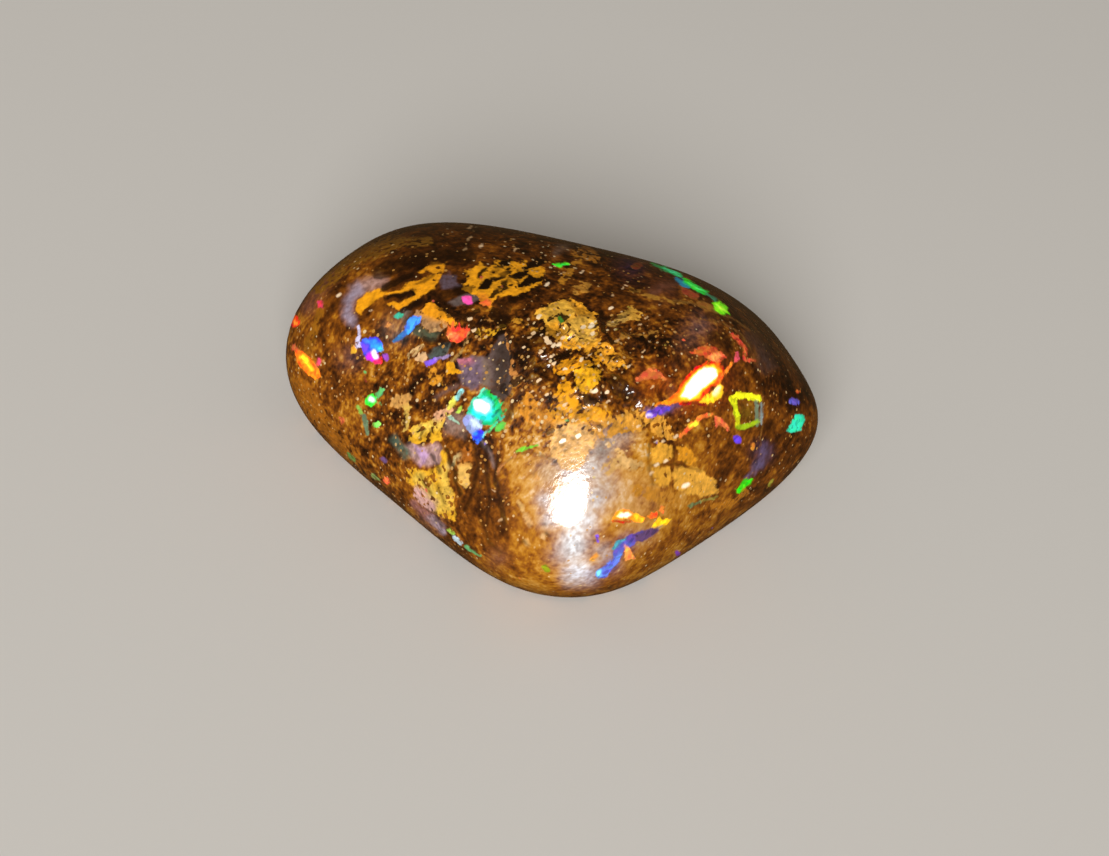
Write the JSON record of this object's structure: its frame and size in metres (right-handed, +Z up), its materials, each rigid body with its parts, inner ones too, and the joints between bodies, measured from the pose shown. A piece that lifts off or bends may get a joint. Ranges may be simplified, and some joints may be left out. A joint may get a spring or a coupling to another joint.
{
  "type": "boulder opal cabochon",
  "caption": "Polished freeform boulder opal cabochon: a high rounded-triangular dome with a nose, a pitted crown and a flat sawn base.",
  "frame": {"origin": "middle of the stone's length and width, on the plane of its flat sawn base", "axes": "+X along the longest way of the stone, +Y from the nose towards the long back edge, +Z up out of the base through the crown"},
  "size_m": [0.0228, 0.0172, 0.0096],
  "materials": {
    "opal_stone": null
  },
  "bodies": {
    "root": {"opal_stone": "opal_stone"}
  },
  "joints": []
}
